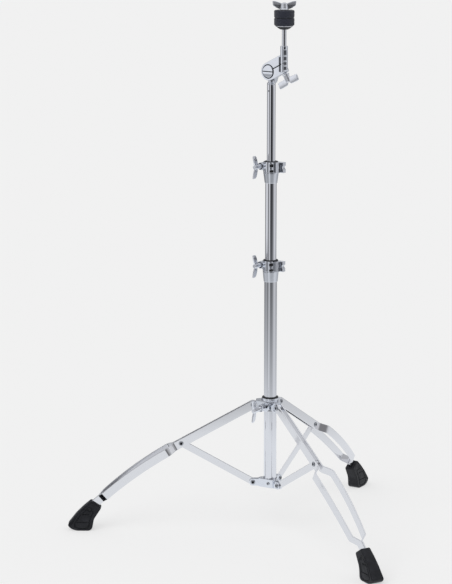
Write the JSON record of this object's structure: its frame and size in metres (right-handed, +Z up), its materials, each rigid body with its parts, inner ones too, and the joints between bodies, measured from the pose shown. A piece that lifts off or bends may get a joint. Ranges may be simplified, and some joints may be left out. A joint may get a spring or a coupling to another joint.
{
  "type": "straight cymbal stand",
  "caption": "Straight cymbal stand: folding tripod of paired legs, two telescoping stages with hinged tube clamps, a tilter and a cymbal rod with felts and wing nut.",
  "frame": {"origin": "centre of the overall box in x and y, on the floor under the feet", "axes": "+Z up along the column; seen from the front, which is -Y, one leg points left along -X and the other two point front right and back right; the cymbal rod stands upright just front right of the column"},
  "size_m": [0.7036, 0.8114, 1.208],
  "materials": {
    "tube_chrome": "bright chromed steel tube",
    "strap_chrome": "bright chromed steel strip",
    "cast_chrome": "chromed zinc casting with soft edges",
    "zinc_steel": "plated steel pins, screws and nuts",
    "black_steel": "blackened steel rivets in the feet",
    "black_nylon": "moulded black nylon",
    "black_rubber": "moulded black rubber, slightly glossy",
    "felt": "pressed charcoal wool felt"
  },
  "bodies": {
    "base": {"base_tube": "tube_chrome", "lower_collar": "cast_chrome", "collar_screw_left": "zinc_steel", "collar_screw_front": "zinc_steel", "collar_screw_back": "zinc_steel", "left_collar_pin": "zinc_steel", "front_collar_pin": "zinc_steel", "back_collar_pin": "zinc_steel", "lower_clamp_body": "cast_chrome", "lower_clamp_bushing": "black_nylon", "lower_clamp_hinge_pin": "zinc_steel", "lower_clamp_nut": "zinc_steel"},
    "left_brace_arm": {"left_brace": "strap_chrome"},
    "front_brace_arm": {"front_brace": "strap_chrome"},
    "back_brace_arm": {"back_brace": "strap_chrome"},
    "left_leg": {"left_leg_strap_a": "strap_chrome", "left_leg_strap_b": "strap_chrome", "left_foot": "black_rubber", "left_foot_rivet": "black_steel", "left_middle_pin": "zinc_steel"},
    "front_leg": {"front_leg_strap_a": "strap_chrome", "front_leg_strap_b": "strap_chrome", "front_foot": "black_rubber", "front_foot_rivet": "black_steel", "front_middle_pin": "zinc_steel"},
    "back_leg": {"back_leg_strap_a": "strap_chrome", "back_leg_strap_b": "strap_chrome", "back_foot": "black_rubber", "back_foot_rivet": "black_steel", "back_middle_pin": "zinc_steel"},
    "hub": {"leg_hub": "cast_chrome", "hub_bushing": "black_nylon", "left_hub_pin": "zinc_steel", "front_hub_pin": "zinc_steel", "back_hub_pin": "zinc_steel"},
    "set_bolt": {"hub_wing_bolt": "cast_chrome"},
    "lower_jaw": {"lower_clamp_jaw": "cast_chrome"},
    "lower_bolt": {"lower_clamp_wing_bolt": "cast_chrome"},
    "middle_stage": {"middle_tube": "tube_chrome", "upper_clamp_body": "cast_chrome", "upper_clamp_bushing": "black_nylon", "upper_clamp_hinge_pin": "zinc_steel", "upper_clamp_nut": "zinc_steel"},
    "upper_jaw": {"upper_clamp_jaw": "cast_chrome"},
    "upper_bolt": {"upper_clamp_wing_bolt": "cast_chrome"},
    "upper_stage": {"upper_tube": "tube_chrome", "tilter_neck": "cast_chrome", "neck_pin": "zinc_steel"},
    "tilter": {"tilter_arm": "cast_chrome", "cymbal_rod": "tube_chrome", "rod_sleeve": "black_nylon", "cup_washer": "tube_chrome", "lower_felt": "felt"},
    "tilter_bolt": {"tilter_wing_bolt": "cast_chrome"},
    "top_felt": {"upper_felt": "felt"},
    "cymbal_nut": {"wing_nut": "cast_chrome"}
  },
  "joints": [
    {"name": "leg_fold", "type": "hinge", "parent": "base", "child": "left_brace_arm", "pos_m": [0.07084, 0, 0.11492], "axis": [0, 1, 0], "range_deg": [0, 52]},
    {"name": "front_brace_fold", "type": "hinge", "parent": "base", "child": "front_brace_arm", "pos_m": [0.12904, -0.0336, 0.11492], "axis": [-0.866, -0.5, 0], "range_deg": [0, 52]},
    {"name": "back_brace_fold", "type": "hinge", "parent": "base", "child": "back_brace_arm", "pos_m": [0.12904, 0.0336, 0.11492], "axis": [0.866, -0.5, 0], "range_deg": [0, 52]},
    {"name": "left_leg_fold", "type": "hinge", "parent": "left_brace_arm", "child": "left_leg", "pos_m": [-0.09201, 0, 0.20541], "axis": [0, 1, 0], "range_deg": [-104, 0]},
    {"name": "front_leg_fold", "type": "hinge", "parent": "front_brace_arm", "child": "front_leg", "pos_m": [0.21046, -0.17463, 0.20541], "axis": [-0.866, -0.5, 0], "range_deg": [-104, 0]},
    {"name": "back_leg_fold", "type": "hinge", "parent": "back_brace_arm", "child": "back_leg", "pos_m": [0.21046, 0.17463, 0.20541], "axis": [0.866, -0.5, 0], "range_deg": [-104, 0]},
    {"name": "hub_fold", "type": "hinge", "parent": "left_leg", "child": "hub", "pos_m": [0.07084, 0, 0.2959], "axis": [0, 1, 0], "range_deg": [0, 52]},
    {"name": "set_bolt_turn", "type": "hinge", "parent": "hub", "child": "set_bolt", "pos_m": [0.10964, 0, 0.2959], "axis": [-0.5, -0.866, 0], "continuous": true},
    {"name": "lower_jaw_open", "type": "hinge", "parent": "base", "child": "lower_jaw", "pos_m": [0.12618, -0.01159, 0.61597], "axis": [0, 0, 1], "range_deg": [0, 1.5]},
    {"name": "lower_bolt_turn", "type": "hinge", "parent": "lower_jaw", "child": "lower_bolt", "pos_m": [0.0908, 0.01319, 0.61597], "axis": [-0.5736, -0.8192, 0], "continuous": true},
    {"name": "middle_stage_slide", "type": "slide", "parent": "base", "child": "middle_stage", "axis": [0, 0, 1], "range_m": [-0.165, 0.24]},
    {"name": "upper_jaw_open", "type": "hinge", "parent": "middle_stage", "child": "upper_jaw", "pos_m": [0.12618, -0.01159, 0.83897], "axis": [0, 0, 1], "range_deg": [0, 1.5]},
    {"name": "upper_bolt_turn", "type": "hinge", "parent": "upper_jaw", "child": "upper_bolt", "pos_m": [0.0908, 0.01319, 0.83897], "axis": [-0.5736, -0.8192, 0], "continuous": true},
    {"name": "upper_stage_slide", "type": "slide", "parent": "middle_stage", "child": "upper_stage", "axis": [0, 0, 1], "range_m": [-0.12, 0.215]},
    {"name": "tilter_tilt", "type": "hinge", "parent": "upper_stage", "child": "tilter", "pos_m": [0.10964, 0, 1.05152], "axis": [-0.6157, -0.788, 0], "range_deg": [-25, 90]},
    {"name": "tilter_bolt_turn", "type": "hinge", "parent": "tilter", "child": "tilter_bolt", "pos_m": [0.13274, -0.02567, 1.06848], "axis": [0.3516, -0.2747, -0.8949], "continuous": true},
    {"name": "top_felt_lift", "type": "slide", "parent": "tilter", "child": "top_felt", "axis": [0, 0, 1], "range_m": [0, 0.008]},
    {"name": "wing_nut_turn", "type": "hinge", "parent": "top_felt", "child": "cymbal_nut", "pos_m": [0.13715, -0.02911, 1.20102], "axis": [0, 0, 1], "continuous": true}
  ],
  "couplings": [
    {"joint": "front_brace_fold", "follows": "leg_fold", "ratio": 1},
    {"joint": "back_brace_fold", "follows": "leg_fold", "ratio": 1},
    {"joint": "left_leg_fold", "follows": "leg_fold", "ratio": -2},
    {"joint": "front_leg_fold", "follows": "leg_fold", "ratio": -2},
    {"joint": "back_leg_fold", "follows": "leg_fold", "ratio": -2},
    {"joint": "hub_fold", "follows": "leg_fold", "ratio": 1}
  ]
}
